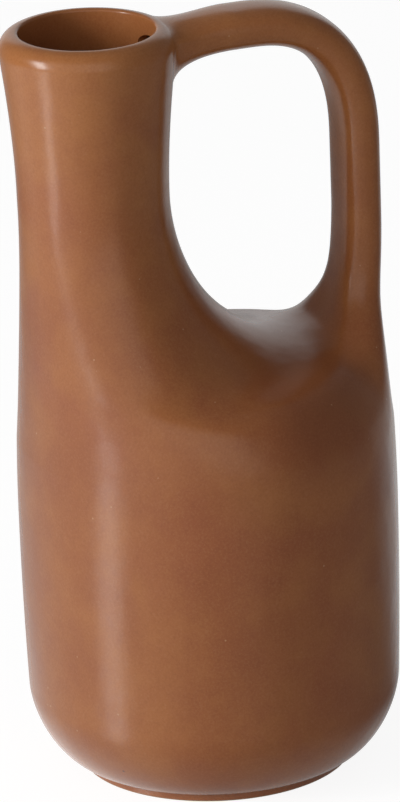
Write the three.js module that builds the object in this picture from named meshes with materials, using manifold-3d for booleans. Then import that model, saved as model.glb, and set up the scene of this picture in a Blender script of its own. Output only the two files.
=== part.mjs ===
// A glazed stoneware vase: a round belly on a low foot ring, a shoulder that draws the
// belly's full circle into a neck on one side, and a hollow loop handle from the other
// side of the shoulder, over a round bend and level into the neck.
// Millimetres, +Z up. The origin is on the ground, on the axis of the belly. The neck
// stands towards -X and the handle towards +X, and the vase is alike on both sides of Y = 0.
import * as THREE from "three";
import { mergeVertices, toCreasedNormals } from "three/addons/utils/BufferGeometryUtils.js";
import Module from "manifold-3d";

const wasm = await Module();
wasm.setup();

// Gap that the slip fills where two sections interlock
const SLIP_GAP = 0.3;

// Foot ring
const FOOT_RADIUS = 45.2;
const FOOT_WIDTH = 8.5;
const FOOT_HEIGHT = 2.9;
const FOOT_EDGE_RADIUS = 0.9;
const FOOT_KEY_WIDTH = 3;
const FOOT_KEY_HEIGHT = 2.2;

// Belly
const BELLY_RADIUS = 62.6;
const BELLY_HEIGHT = 111.5;
const WIDEST_HEIGHT = 85.9;
const HEEL_HEIGHT = 25.2;
const HEEL_TAPER = 1.1;
const HEEL_FULLNESS = 1.67;
const SEAM_TAPER = 0.5;
const WALL = 5.5;
const FLOOR = 6.5;
const FLOOR_FILLET = 16;
const SEAM_KEY_HEIGHT = 3;
const SEAM_KEY_WIDTH = 2.4;

// Shoulder and saddle
const SADDLE_RISE = 31.2;
const ROOT_RISE = 54.8;
const SIDE_SAG = 12;
const LEFT_WAIST = 0.7;

// Neck and rim
const NECK_INSET = 2.1;
const NECK_RADIUS = 24.7;
const NECK_LENGTH = 55.9;
const NECK_WALL = 4.8;
const RIM_RADIUS = 28.7;
const LIP_REACH = 5.6;
const LIP_DROP = 6;
const LIP_EDGE_RADIUS = 1;
const NECK_KEY_HEIGHT = 3;
const NECK_KEY_WIDTH = 2.2;

// Handle
const HANDLE_INSET = 0.5;
const HANDLE_THICKNESS = 13.8;
const HANDLE_DEPTH = 23;
const HANDLE_SQUARENESS = 2.5;
const HANDLE_SLIMMING = 0.5;
const HANDLE_LIFT = 1;
const HANDLE_BEND_REACH = 38;
const HANDLE_BEND_RISE = 45;
const HANDLE_BEND_FULLNESS = 2.5;
const HANDLE_WALL = 4.4;
const STUB_RISE = 40;
const STUB_INNER_FLARE = 14;
const STUB_SIDE_FLARE = 23;
const JOINT_LENGTH = 20;
const JOINT_TOP_DROP = 0.1;
const JOINT_DEPTH = 22.4;
const JOINT_SIDE = 3.5;
const PORT_DROP = 2.5;
const BLEND_SINK = 0.2;
const HANDLE_KEY_LENGTH = 2.6;
const HANDLE_KEY_WALL = 1.5;

// How finely the round forms are faceted
const ROUND_STEPS = 48;
const SECTION_STEPS = 28;
const BORE_STEPS = 16;
const SHOULDER_STEPS = 17;
const HEEL_STEPS = 8;
const WALL_STEPS = 6;
const FILLET_STEPS = 6;
const EDGE_STEPS = 2;
const FLARE_STEPS = 7;
const STUB_STEPS = 13;
const BEND_STEPS = 12;
const JOINT_STEPS = 9;

// How closely a spot on the shoulder is found, and the step for the directions at it
const SPOT_STEPS = 40;
const SPOT_STEP = 0.002;

// How far a joining or cutting form runs past the face that it meets
const OVERRUN = 1;

// Where the control points of the drawn curves lie, as shares of each curve's height
const BACK_LOW_SHARE = 0.3;
const BACK_HIGH_SHARE = 0.7;
const FLARE_SHARE = 0.4;
const BORE_FLARE_SHARE = 0.45;
const STUB_SHARE = 0.7;
const JOINT_TOP_SHARE = 0.28;
const JOINT_BOTTOM_SHARE = 0.52;

// Edges that turn by less than this angle are shaded as one surface
const SMOOTH_ANGLE = 0.6;

// Points of a form that lie closer together than this are one point
const MERGE_DISTANCE = 1e-4;

// Heights and places that follow from the sizes
const seamZ = FOOT_HEIGHT + BELLY_HEIGHT;
const widestZ = FOOT_HEIGHT + WIDEST_HEIGHT;
const heelZ = FOOT_HEIGHT + HEEL_HEIGHT;
const saddleZ = seamZ + SADDLE_RISE;
const collarZ = saddleZ + ROOT_RISE;
const rimZ = collarZ + NECK_LENGTH;
const seamRadius = BELLY_RADIUS - SEAM_TAPER;
const heelRadius = BELLY_RADIUS - HEEL_TAPER;
const neckX = NECK_RADIUS + NECK_INSET - BELLY_RADIUS;
const neckRightX = neckX + NECK_RADIUS;
const handleOuterX = BELLY_RADIUS - HANDLE_INSET;
const handleX = handleOuterX - HANDLE_THICKNESS / 2;
const handleTopZ = rimZ + HANDLE_LIFT - HANDLE_THICKNESS / 2;
const stubZ = saddleZ + STUB_RISE;
const rootX = handleX - HANDLE_THICKNESS / 2 - STUB_INNER_FLARE;
const jointX = neckX + RIM_RADIUS + JOINT_LENGTH;
const rootReach = rootX - neckRightX;
const lipZ = rimZ - LIP_DROP;
const lipCrestRadius = RIM_RADIUS - LIP_REACH;
const mouthRadius = lipCrestRadius - LIP_EDGE_RADIUS;

const glaze = new THREE.MeshStandardMaterial({ color: 0x96603f, roughness: 0.38, metalness: 0 });

// A closed geometry as a solid that can be joined and cut.
function solidOf(geometry) {
  const bare = geometry.clone();
  bare.deleteAttribute("normal");
  bare.deleteAttribute("uv");
  const merged = mergeVertices(bare, MERGE_DISTANCE);
  const corners = merged.index.array;
  const triangles = [];
  for (let i = 0; i < corners.length; i += 3) {
    const [a, b, c] = [corners[i], corners[i + 1], corners[i + 2]];
    // Rows on the axis of a revolve collapse to a point and leave triangles with no area.
    if (a !== b && b !== c && c !== a) triangles.push(a, b, c);
  }
  return new wasm.Manifold(new wasm.Mesh({
    numProp: 3,
    vertProperties: new Float32Array(merged.attributes.position.array),
    triVerts: new Uint32Array(triangles),
  }));
}

// A finished solid as a named mesh.
function pieceOf(name, solid, material) {
  const { vertProperties, triVerts } = solid.getMesh();
  const geometry = new THREE.BufferGeometry();
  geometry.setAttribute("position", new THREE.BufferAttribute(vertProperties, 3));
  geometry.setIndex(new THREE.BufferAttribute(triVerts, 1));
  const piece = new THREE.Mesh(toCreasedNormals(geometry, SMOOTH_ANGLE), material);
  piece.name = name;
  return piece;
}

// A solid of revolution about a vertical axis at x = axisX, from a profile of radius and
// height that runs upwards on the outside.
function revolve(profile, axisX = 0) {
  const geometry = new THREE.LatheGeometry(profile, ROUND_STEPS);
  geometry.rotateX(Math.PI / 2);
  geometry.translate(axisX, 0, 0);
  return solidOf(geometry);
}

// A solid through closed rings of points, with flat ends. Each ring runs anticlockwise
// round the direction in which the rings follow each other.
function loft(rings) {
  const count = rings[0].length;
  const points = rings.flat();
  const corners = [];
  for (let row = 0; row + 1 < rings.length; row++) {
    for (let j = 0; j < count; j++) {
      const a = row * count + j;
      const b = row * count + ((j + 1) % count);
      corners.push(a, b, b + count, a, b + count, a + count);
    }
  }
  const addEnd = (first, isStart) => {
    const centre = new THREE.Vector3();
    for (let j = 0; j < count; j++) centre.addScaledVector(points[first + j], 1 / count);
    const hub = points.push(centre) - 1;
    for (let j = 0; j < count; j++) {
      const a = first + j;
      const b = first + ((j + 1) % count);
      if (isStart) corners.push(hub, b, a);
      else corners.push(hub, a, b);
    }
  };
  addEnd(0, true);
  addEnd((rings.length - 1) * count, false);
  const geometry = new THREE.BufferGeometry().setFromPoints(points);
  geometry.setIndex(corners);
  return solidOf(geometry);
}

// Eases from 0 to 1 with level ends.
function ease(t) {
  return THREE.MathUtils.smoothstep(t, 0, 1);
}

// Points of an arc of an ellipse, from one angle to another, both included.
function arc(x, z, reach, rise, from, to, steps) {
  const curve = new THREE.EllipseCurve(x, z, reach, rise, from, to, to < from);
  return curve.getPoints(steps);
}

// The foot ring: a low ring with round edges, keyed into the underside of the belly.
function makeFootRing() {
  const inner = FOOT_RADIUS - FOOT_WIDTH;
  const keyMiddle = FOOT_RADIUS - FOOT_WIDTH / 2;
  const keyTop = FOOT_HEIGHT + FOOT_KEY_HEIGHT;
  const edge = FOOT_EDGE_RADIUS;
  const profile = [
    ...arc(inner + edge, edge, edge, edge, Math.PI, 1.5 * Math.PI, EDGE_STEPS),
    ...arc(FOOT_RADIUS - edge, edge, edge, edge, -0.5 * Math.PI, 0, EDGE_STEPS),
    new THREE.Vector2(FOOT_RADIUS, FOOT_HEIGHT),
    new THREE.Vector2(keyMiddle + FOOT_KEY_WIDTH / 2, FOOT_HEIGHT),
    new THREE.Vector2(keyMiddle + FOOT_KEY_WIDTH / 2, keyTop),
    new THREE.Vector2(keyMiddle - FOOT_KEY_WIDTH / 2, keyTop),
    new THREE.Vector2(keyMiddle - FOOT_KEY_WIDTH / 2, FOOT_HEIGHT),
    new THREE.Vector2(inner, FOOT_HEIGHT),
  ];
  profile.push(profile[0].clone());
  return revolve(profile);
}

// Outer radius of the belly between the heel and the seam: it swells to its widest
// and draws in a little towards the seam.
function bellyRadiusAt(z) {
  if (z < widestZ) {
    const below = (widestZ - z) / (widestZ - heelZ);
    return BELLY_RADIUS - HEEL_TAPER * below * below;
  }
  const above = (z - widestZ) / (seamZ - widestZ);
  return BELLY_RADIUS - SEAM_TAPER * above * above;
}

// The belly: a heel that leaves the foot level and turns up into the wall, a wall of even
// thickness, a filleted floor, and a key on its upper edge for the shoulder.
function makeBody() {
  const heel = [];
  for (let i = 0; i <= HEEL_STEPS; i++) {
    const turn = (i / HEEL_STEPS) * Math.PI / 2;
    const reach = Math.pow(Math.sin(turn), 2 / HEEL_FULLNESS);
    const rise = 1 - Math.pow(Math.cos(turn), 2 / HEEL_FULLNESS);
    const radius = FOOT_RADIUS + (heelRadius - FOOT_RADIUS) * reach;
    heel.push(new THREE.Vector2(radius, FOOT_HEIGHT + HEEL_HEIGHT * rise));
  }
  const outside = [];
  const inside = [];
  const floorZ = FOOT_HEIGHT + FLOOR;
  const filletTopZ = floorZ + FLOOR_FILLET;
  for (let i = 1; i <= WALL_STEPS; i++) {
    const z = THREE.MathUtils.lerp(heelZ, seamZ, i / WALL_STEPS);
    outside.push(new THREE.Vector2(bellyRadiusAt(z), z));
    const innerZ = THREE.MathUtils.lerp(seamZ, Math.max(heelZ, filletTopZ), i / WALL_STEPS);
    inside.push(new THREE.Vector2(bellyRadiusAt(innerZ) - WALL, innerZ));
  }
  const innerFoot = inside[WALL_STEPS - 1];
  const floor = arc(
    innerFoot.x - FLOOR_FILLET, filletTopZ, FLOOR_FILLET, FLOOR_FILLET, 0, -Math.PI / 2, FILLET_STEPS);
  const keyInner = seamRadius - WALL;
  const keyOuter = keyInner + SEAM_KEY_WIDTH;
  const profile = [
    new THREE.Vector2(0, FOOT_HEIGHT),
    ...heel,
    ...outside,
    new THREE.Vector2(keyOuter, seamZ),
    new THREE.Vector2(keyOuter, seamZ + SEAM_KEY_HEIGHT),
    new THREE.Vector2(keyInner, seamZ + SEAM_KEY_HEIGHT),
    new THREE.Vector2(keyInner, seamZ),
    ...inside,
    ...floor,
    new THREE.Vector2(0, floorZ),
  ];
  return revolve(profile).subtract(makeFootGroove());
}

// The groove under the belly that takes the key of the foot ring.
function makeFootGroove() {
  const middle = FOOT_RADIUS - FOOT_WIDTH / 2;
  const half = FOOT_KEY_WIDTH / 2 + SLIP_GAP;
  const top = FOOT_HEIGHT + FOOT_KEY_HEIGHT + SLIP_GAP;
  return revolveBand(middle - half, middle + half, FOOT_HEIGHT - OVERRUN, top);
}

// A plain ring of rectangular section.
function revolveBand(inner, outer, bottom, top, axisX = 0) {
  const profile = [
    new THREE.Vector2(inner, bottom),
    new THREE.Vector2(outer, bottom),
    new THREE.Vector2(outer, top),
    new THREE.Vector2(inner, top),
    new THREE.Vector2(inner, bottom),
  ];
  return revolve(profile, axisX);
}

// The line of the shoulder in the plane Y = 0 on the handle's side: from the seam over the
// low dome to the saddle, where the foot of the stub ends, and up the root of the neck.
function saddleLine() {
  const line = new THREE.CurvePath();
  line.add(new THREE.EllipseCurve(rootX, seamZ, seamRadius - rootX, SADDLE_RISE, 0, Math.PI / 2));
  line.add(new THREE.EllipseCurve(rootX, collarZ, rootReach, ROOT_RISE, -Math.PI / 2, -Math.PI, true));
  return line;
}

// The line of the shoulder in the plane Y = 0 on the neck's side: almost upright, with a
// slight waist.
function backLine() {
  const neckLeftX = neckX - NECK_RADIUS;
  const waistX = neckLeftX + LEFT_WAIST;
  const rise = collarZ - seamZ;
  return new THREE.CubicBezierCurve(
    new THREE.Vector2(-seamRadius, seamZ),
    new THREE.Vector2(waistX, seamZ + rise * BACK_LOW_SHARE),
    new THREE.Vector2(waistX, seamZ + rise * BACK_HIGH_SHARE),
    new THREE.Vector2(neckLeftX, collarZ));
}

const shoulderLines = [
  { line: backLine(), side: 1 },
  { line: saddleLine(), side: -1 },
];

// Both ends, in the plane Y = 0, of the shoulder's section at a share t of the way from the
// seam to the collar. inset draws them inwards.
function shoulderEnds(t, inset) {
  return shoulderLines.map(({ line, side }) => {
    const point = line.getPointAt(t);
    const along = line.getTangentAt(t);
    return new THREE.Vector2(point.x + side * along.y * inset, point.y - side * along.x * inset);
  });
}

// A point of the shoulder's section at a share t, at an angle from the handle's side. The
// section is a circle in plan that leans between its ends and hangs a little at its sides.
function shoulderPoint(t, turn, inset) {
  const [left, right] = shoulderEnds(t, inset);
  const sag = SIDE_SAG * Math.sin(Math.PI * t) ** 2;
  const share = (1 + Math.cos(turn)) / 2;
  const across = Math.sin(turn);
  return new THREE.Vector3(
    THREE.MathUtils.lerp(left.x, right.x, share),
    (right.x - left.x) / 2 * across,
    THREE.MathUtils.lerp(left.y, right.y, share) - sag * across * across);
}

// The point of the shoulder's surface at a place in plan, and the direction out of it.
function shoulderSpot(place) {
  let low = 0;
  let high = 1;
  let t = 0;
  let turn = 0;
  for (let i = 0; i < SPOT_STEPS; i++) {
    t = (low + high) / 2;
    const [left, right] = shoulderEnds(t, 0);
    const middle = (left.x + right.x) / 2;
    turn = Math.atan2(place.y, place.x - middle);
    if (Math.hypot(place.x - middle, place.y) > right.x - middle) high = t;
    else low = t;
  }
  const point = shoulderPoint(t, turn, 0);
  const across = shoulderPoint(t, turn + SPOT_STEP, 0).sub(point);
  const along = shoulderPoint(Math.min(t + SPOT_STEP, 1), turn, 0)
    .sub(shoulderPoint(Math.max(t - SPOT_STEP, 0), turn, 0));
  return { point, out: across.cross(along).normalize() };
}

// The shoulder's form as a full solid, drawn in by inset, with its ends carried past the
// seam and the collar by overrun.
function shoulderForm(inset, overrun) {
  const rings = [];
  for (let i = 0; i <= SHOULDER_STEPS; i++) {
    const ring = [];
    for (let j = 0; j < ROUND_STEPS; j++) {
      ring.push(shoulderPoint(i / SHOULDER_STEPS, (j / ROUND_STEPS) * 2 * Math.PI, inset));
    }
    rings.push(ring);
  }
  if (overrun > 0) {
    const down = new THREE.Vector3(0, 0, -overrun);
    const up = new THREE.Vector3(0, 0, overrun);
    rings.unshift(rings[0].map((point) => point.clone().add(down)));
    rings.push(rings.at(-1).map((point) => point.clone().add(up)));
  }
  return loft(rings);
}

// A station of the handle: a place on its middle line in the plane Y = 0, the direction out
// of the loop there, and how far its section is slimmed on both faces.
function handleStation(place, outward, slimming = 0) {
  return { place, outward, slimming };
}

// Both coordinates of a squared circle of half size 1. A squareness of 2 is a circle.
function squaredPoint(turn, squareness) {
  const power = 2 / squareness;
  return [Math.cos(turn), Math.sin(turn)].map((side) => Math.sign(side) * Math.abs(side) ** power);
}

// Stations of the loop, from the top of the stub over the bend to the joint with the neck.
function loopStations() {
  const bendX = handleX - HANDLE_BEND_REACH;
  const bendZ = handleTopZ - HANDLE_BEND_RISE;
  const stations = [];
  const add = (x, z, outward) => {
    const slimming = HANDLE_SLIMMING / 2 * ease((handleX - x) / HANDLE_BEND_REACH);
    stations.push(handleStation(new THREE.Vector2(x, z), outward, slimming));
  };
  add(handleX, stubZ, new THREE.Vector2(1, 0));
  for (let i = 0; i <= BEND_STEPS; i++) {
    const [across, up] = squaredPoint((i / BEND_STEPS) * Math.PI / 2, HANDLE_BEND_FULLNESS);
    const outward = new THREE.Vector2(
      across ** (HANDLE_BEND_FULLNESS - 1) / HANDLE_BEND_REACH,
      up ** (HANDLE_BEND_FULLNESS - 1) / HANDLE_BEND_RISE).normalize();
    add(bendX + HANDLE_BEND_REACH * across, bendZ + HANDLE_BEND_RISE * up, outward);
  }
  add(jointX, handleTopZ, new THREE.Vector2(0, 1));
  return stations;
}

// Rings along stations, with a squared oval section of the given half sizes.
function sweepRings(stations, halfThickness, halfDepth, squareness, steps) {
  return stations.map(({ place, outward, slimming }) => {
    const ring = [];
    for (let j = 0; j < steps; j++) {
      const [u, v] = squaredPoint((j / steps) * 2 * Math.PI, squareness);
      const off = u * (halfThickness - slimming);
      ring.push(new THREE.Vector3(place.x + outward.x * off, v * halfDepth, place.y + outward.y * off));
    }
    return ring;
  });
}

// A straight bar of oval section along a heading, from a start for a length.
function ovalBar(startX, startZ, heading, length, halfThickness, halfDepth) {
  const outward = new THREE.Vector2(heading.y, -heading.x);
  const start = new THREE.Vector2(startX, startZ);
  const end = start.clone().addScaledVector(heading, length);
  const ends = [start, end].map((place) => handleStation(place, outward));
  return loft(sweepRings(ends, halfThickness, halfDepth, 2, BORE_STEPS));
}

const boreHalfThickness = HANDLE_THICKNESS / 2 - HANDLE_WALL;
const boreHalfDepth = HANDLE_DEPTH / 2 - HANDLE_WALL;
const keyHalfThickness = boreHalfThickness + HANDLE_KEY_WALL;
const keyHalfDepth = boreHalfDepth + HANDLE_KEY_WALL;
const upwards = new THREE.Vector2(0, 1);
const towardsNeck = new THREE.Vector2(-JOINT_LENGTH, -PORT_DROP).normalize();

// Points of a blend that leaves a surface at a foot without a crease and runs into a section
// at top along a heading. share tells how far it follows both ends.
function blendColumn(foot, out, top, heading, share, steps) {
  const way = top.clone().sub(foot);
  const along = way.clone().projectOnPlane(out).normalize();
  const curve = new THREE.CubicBezierCurve3(
    foot,
    foot.clone().addScaledVector(along, share * way.dot(along)),
    top.clone().addScaledVector(heading, -share * way.dot(heading)),
    top);
  return curve.getPoints(steps);
}

// Columns of points, all equally long, as rings across the columns.
function ringsAcross(columns) {
  return columns[0].map((_, row) => columns.map((column) => column[row]));
}

// The stub of the handle on the shoulder. Its foot is an oval on the shoulder's surface, from
// the saddle to the belly's wall, and leaves that surface without a crease. Its top is the
// handle's section.
function makeStub() {
  const columns = [];
  for (let j = 0; j < SECTION_STEPS; j++) {
    const turn = (j / SECTION_STEPS) * 2 * Math.PI;
    const [u, v] = squaredPoint(turn, HANDLE_SQUARENESS);
    const top = new THREE.Vector3(handleX + u * HANDLE_THICKNESS / 2, v * HANDLE_DEPTH / 2, stubZ);
    const place = new THREE.Vector2(
      THREE.MathUtils.lerp(rootX, seamRadius, (1 + Math.cos(turn)) / 2),
      (HANDLE_DEPTH / 2 + STUB_SIDE_FLARE) * Math.sin(turn));
    const { point, out } = shoulderSpot(place.clampLength(0, seamRadius - BLEND_SINK));
    const foot = point.addScaledVector(out, -BLEND_SINK);
    const sunk = new THREE.Vector3(foot.x, foot.y, Math.max(foot.z - WALL / 2, seamZ));
    const up = new THREE.Vector3(0, 0, 1);
    columns.push([sunk, ...blendColumn(foot, out, top, up, STUB_SHARE, STUB_STEPS)]);
  }
  return loft(ringsAcross(columns));
}

// The shoulder: a shell with the handle's stub on it, a rebate for the belly's key, a
// rebate for the neck's key, and the drain of the handle's bore.
function makeShoulder() {
  const form = shoulderForm(0, 0);
  const stub = makeStub();
  const key = ovalBar(
    handleX, stubZ - OVERRUN, upwards, OVERRUN + HANDLE_KEY_LENGTH, keyHalfThickness, keyHalfDepth);
  const hollow = shoulderForm(WALL, OVERRUN);
  const drainLength = STUB_RISE + SADDLE_RISE + HANDLE_KEY_LENGTH;
  const drain = ovalBar(
    handleX, seamZ + WALL, upwards, drainLength + OVERRUN, boreHalfThickness, boreHalfDepth);
  const seamKey = revolveBand(
    seamRadius - 2 * WALL, seamRadius - WALL + SEAM_KEY_WIDTH + SLIP_GAP, seamZ - OVERRUN,
    seamZ + SEAM_KEY_HEIGHT + SLIP_GAP);
  const neckInner = NECK_RADIUS - NECK_WALL;
  const neckKey = revolveBand(
    neckInner - WALL, neckInner + NECK_KEY_WIDTH + SLIP_GAP, collarZ - NECK_KEY_HEIGHT - SLIP_GAP,
    collarZ + OVERRUN, neckX);
  return form.add(stub).add(key).subtract(hollow).subtract(drain).subtract(seamKey).subtract(neckKey);
}

// The outside of the neck from its waist up the flare and over the lip, which slopes
// outwards from its crest next to the mouth.
function neckOutside(grown) {
  const wall = new THREE.QuadraticBezierCurve(
    new THREE.Vector2(NECK_RADIUS + grown, collarZ),
    new THREE.Vector2(NECK_RADIUS + grown, THREE.MathUtils.lerp(collarZ, lipZ, FLARE_SHARE)),
    new THREE.Vector2(RIM_RADIUS + grown, lipZ)).getPoints(FLARE_STEPS);
  const lip = arc(lipCrestRadius, lipZ, LIP_REACH + grown, LIP_DROP + grown, 0, Math.PI / 2, FILLET_STEPS);
  return [...wall, ...lip.slice(1)];
}

// The neck: a collar with a slight flare and a full-round lip, a key into the shoulder,
// and the socket and port of the handle in its wall.
function makeNeck() {
  const inner = NECK_RADIUS - NECK_WALL;
  const keyBottom = collarZ - NECK_KEY_HEIGHT;
  const edgeZ = rimZ - LIP_EDGE_RADIUS;
  const innerLip = arc(
    lipCrestRadius, edgeZ, LIP_EDGE_RADIUS, LIP_EDGE_RADIUS, Math.PI / 2, Math.PI, EDGE_STEPS);
  const bore = new THREE.QuadraticBezierCurve(
    new THREE.Vector2(mouthRadius, edgeZ),
    new THREE.Vector2(inner, THREE.MathUtils.lerp(collarZ, lipZ, BORE_FLARE_SHARE)),
    new THREE.Vector2(inner, collarZ)).getPoints(FLARE_STEPS);
  const profile = [
    new THREE.Vector2(inner, keyBottom),
    new THREE.Vector2(inner + NECK_KEY_WIDTH, keyBottom),
    new THREE.Vector2(inner + NECK_KEY_WIDTH, collarZ),
    ...neckOutside(0),
    ...innerLip.slice(1),
    ...bore.slice(1),
    new THREE.Vector2(inner, keyBottom),
  ];
  const socket = ovalBar(
    jointX, handleTopZ, towardsNeck, JOINT_LENGTH + HANDLE_KEY_LENGTH + SLIP_GAP,
    keyHalfThickness + SLIP_GAP, keyHalfDepth + SLIP_GAP);
  const port = ovalBar(
    jointX, handleTopZ, towardsNeck, JOINT_LENGTH + RIM_RADIUS, boreHalfThickness, boreHalfDepth);
  return revolve(profile, neckX).subtract(socket).subtract(port);
}

// The point of the neck's outside on the handle's side at a place y and a height z, and the
// direction out of it.
function neckSpot(y, z) {
  const line = neckOutside(0);
  const next = line.findIndex((point) => point.y > z);
  const [low, high] = [line[next - 1], line[next]];
  const slope = (high.x - low.x) / (high.y - low.y);
  const radius = low.x + slope * (z - low.y);
  const reach = Math.sqrt(radius * radius - y * y);
  return {
    point: new THREE.Vector3(neckX + reach, y, z),
    out: new THREE.Vector3(reach / radius, y / radius, -slope).normalize(),
  };
}

// Rings of the joint, from the last section of the loop to a foot inside the neck's wall. The
// foot is an oval on the neck's surface, from the rim's crest down, and wider than the handle.
function jointRings(section) {
  const topReach = rimZ - JOINT_TOP_DROP - handleTopZ;
  const bottomReach = handleTopZ - rimZ + JOINT_DEPTH;
  const columns = section.map((top, j) => {
    const [u, v] = squaredPoint((j / SECTION_STEPS) * 2 * Math.PI, HANDLE_SQUARENESS);
    const z = handleTopZ + u * (u > 0 ? topReach : bottomReach);
    const { point, out } = neckSpot(v * (HANDLE_DEPTH / 2 + JOINT_SIDE), z);
    const foot = point.addScaledVector(out, -BLEND_SINK);
    const share = THREE.MathUtils.lerp(JOINT_BOTTOM_SHARE, JOINT_TOP_SHARE, (1 + u) / 2);
    const blend = blendColumn(foot, out, top, new THREE.Vector3(1, 0, 0), share, JOINT_STEPS);
    const sunk = foot.clone().addScaledVector(out, -NECK_WALL / 2);
    return [sunk, ...blend.slice(0, -1)].reverse();
  });
  return ringsAcross(columns);
}

// The handle: a hollow loop that sits on the key of the stub, spreads where it meets the neck,
// is coped to the neck's wall and keyed into it.
function makeHandle() {
  const stations = loopStations();
  const rings = sweepRings(
    stations, HANDLE_THICKNESS / 2, HANDLE_DEPTH / 2, HANDLE_SQUARENESS, SECTION_STEPS);
  const loop = loft([...rings, ...jointRings(rings.at(-1))]);
  const outside = neckOutside(SLIP_GAP);
  const neckForm = revolve([
    new THREE.Vector2(0, outside[0].y), ...outside, new THREE.Vector2(0, rimZ + SLIP_GAP)], neckX);
  const keyLength = JOINT_LENGTH + HANDLE_KEY_LENGTH;
  const key = ovalBar(jointX, handleTopZ, towardsNeck, keyLength, keyHalfThickness, keyHalfDepth);
  const boreStations = stations.map(({ place, outward }) => handleStation(place, outward));
  const bore = loft(sweepRings(boreStations, boreHalfThickness, boreHalfDepth, 2, BORE_STEPS));
  const boreEnd = ovalBar(
    jointX + OVERRUN, handleTopZ, towardsNeck, keyLength + 2 * OVERRUN, boreHalfThickness, boreHalfDepth);
  const keySeat = ovalBar(
    handleX, stubZ - OVERRUN, upwards, OVERRUN + HANDLE_KEY_LENGTH + SLIP_GAP,
    keyHalfThickness + SLIP_GAP, keyHalfDepth + SLIP_GAP);
  return loop.subtract(neckForm).add(key).subtract(bore).subtract(boreEnd).subtract(keySeat);
}

const vase = new THREE.Group();
vase.add(
  pieceOf("foot_ring", makeFootRing(), glaze),
  pieceOf("body", makeBody(), glaze),
  pieceOf("shoulder", makeShoulder(), glaze),
  pieceOf("neck", makeNeck(), glaze),
  pieceOf("handle", makeHandle(), glaze),
);

export default vase;
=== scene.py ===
"""Looks of a glazed stoneware vase with a loop handle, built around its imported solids.

Sizes are in millimetres unless a name says otherwise, in the frame of the solids: +Z up, the
origin on the ground on the belly's axis, the neck towards -X and the handle towards +X.
"""

import logging
import math
from collections.abc import Callable
from dataclasses import dataclass, field
from enum import Enum
from functools import cached_property

import bmesh
import bpy
import numpy as np
from mathutils import Matrix, Quaternion, Vector


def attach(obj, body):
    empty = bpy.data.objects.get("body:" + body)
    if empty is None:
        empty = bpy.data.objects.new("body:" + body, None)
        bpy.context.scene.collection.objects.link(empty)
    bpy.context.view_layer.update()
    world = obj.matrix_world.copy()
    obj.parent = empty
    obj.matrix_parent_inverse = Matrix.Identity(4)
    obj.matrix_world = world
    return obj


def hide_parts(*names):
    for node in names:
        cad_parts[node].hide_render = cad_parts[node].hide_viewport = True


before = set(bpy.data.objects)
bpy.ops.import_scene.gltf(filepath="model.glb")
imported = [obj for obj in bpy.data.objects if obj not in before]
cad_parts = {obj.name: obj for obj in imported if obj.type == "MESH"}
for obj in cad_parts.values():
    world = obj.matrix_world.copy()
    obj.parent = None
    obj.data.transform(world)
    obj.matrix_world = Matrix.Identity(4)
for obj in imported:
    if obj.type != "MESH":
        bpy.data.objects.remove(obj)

MM = 0.001
WELD_METRES = 1e-7
WEIGHT_LEVELS = 20
SMOOTH_FACTOR = 0.5
NOISE_MIDDLE = 0.5
PLAN = (1, 1, 0)
SECTION = (1, 0, 1)
log = logging.getLogger("vase")


class Ends(Enum):
    """How a surface through rings is closed at its first and last ring."""

    JOINED = "the last ring meets the first"
    CAPPED = "flat faces"
    POLES = "both rings are points on an axis"


class Cut(Enum):
    """How one mesh acts on another."""

    JOIN = "UNION"
    REMOVE = "DIFFERENCE"


class Keep(Enum):
    """What is kept of a piece that is cut flat, as the direction towards it."""

    ABOVE = (0, 0, 1)
    BELOW = (0, 0, -1)


# Curves

def arc(centre: tuple[float, float], reach: float, rise: float, start: float, end: float,
        steps: int) -> np.ndarray:
    """Points on an arc of an ellipse.

    Args:
        centre: Middle of the ellipse.
        reach: Half size along the first axis.
        rise: Half size along the second axis.
        start: First angle in degrees.
        end: Last angle in degrees.
        steps: Number of stretches.

    Returns:
        An array of points, both ends included.
    """
    turn = np.radians(np.linspace(start, end, steps + 1))
    return np.stack([centre[0] + reach * np.cos(turn), centre[1] + rise * np.sin(turn)], -1)


def bezier(controls: list[tuple[float, float]], steps: int) -> np.ndarray:
    """Points on a Bezier curve.

    Args:
        controls: Control points, the ends included.
        steps: Number of stretches.

    Returns:
        An array of points, both ends included.
    """
    share = np.linspace(0, 1, steps + 1)[:, None]
    layer = [np.asarray(point, float)[None, :] for point in controls]
    while len(layer) > 1:
        layer = [(1 - share) * a + share * b for a, b in zip(layer, layer[1:])]
    return layer[0]


def evenly(points: np.ndarray, shares: np.ndarray) -> np.ndarray:
    """Points at shares of the length of a polyline.

    Args:
        points: The polyline.
        shares: Shares from 0 to 1.

    Returns:
        One point for each share.
    """
    steps = np.linalg.norm(np.diff(points, axis=0), axis=1)
    along = np.concatenate([[0], np.cumsum(steps)]) / steps.sum()
    return np.stack([np.interp(shares, along, column) for column in points.T], -1)


def squared(turn: np.ndarray, squareness: float) -> tuple[np.ndarray, np.ndarray]:
    """Both coordinates of a squared circle of half size 1.

    Args:
        turn: Angles in radians.
        squareness: 2 is a circle, more is squarer.

    Returns:
        The two coordinates.
    """
    power = 2 / squareness
    cos, sin = np.cos(turn), np.sin(turn)
    return np.sign(cos) * np.abs(cos) ** power, np.sign(sin) * np.abs(sin) ** power


def unit(vectors: np.ndarray) -> np.ndarray:
    """Vectors scaled to a length of 1."""
    return vectors / np.linalg.norm(vectors, axis=-1, keepdims=True)


def smooth_step(value: np.ndarray, low: float, high: float) -> np.ndarray:
    """Smooth change from 0 at low to 1 at high."""
    share = np.clip((value - low) / (high - low), 0, 1)
    return share * share * (3 - 2 * share)


def round_angles(steps: int) -> np.ndarray:
    """Angles once round a circle, in radians."""
    return np.arange(steps) * 2 * np.pi / steps


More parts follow.
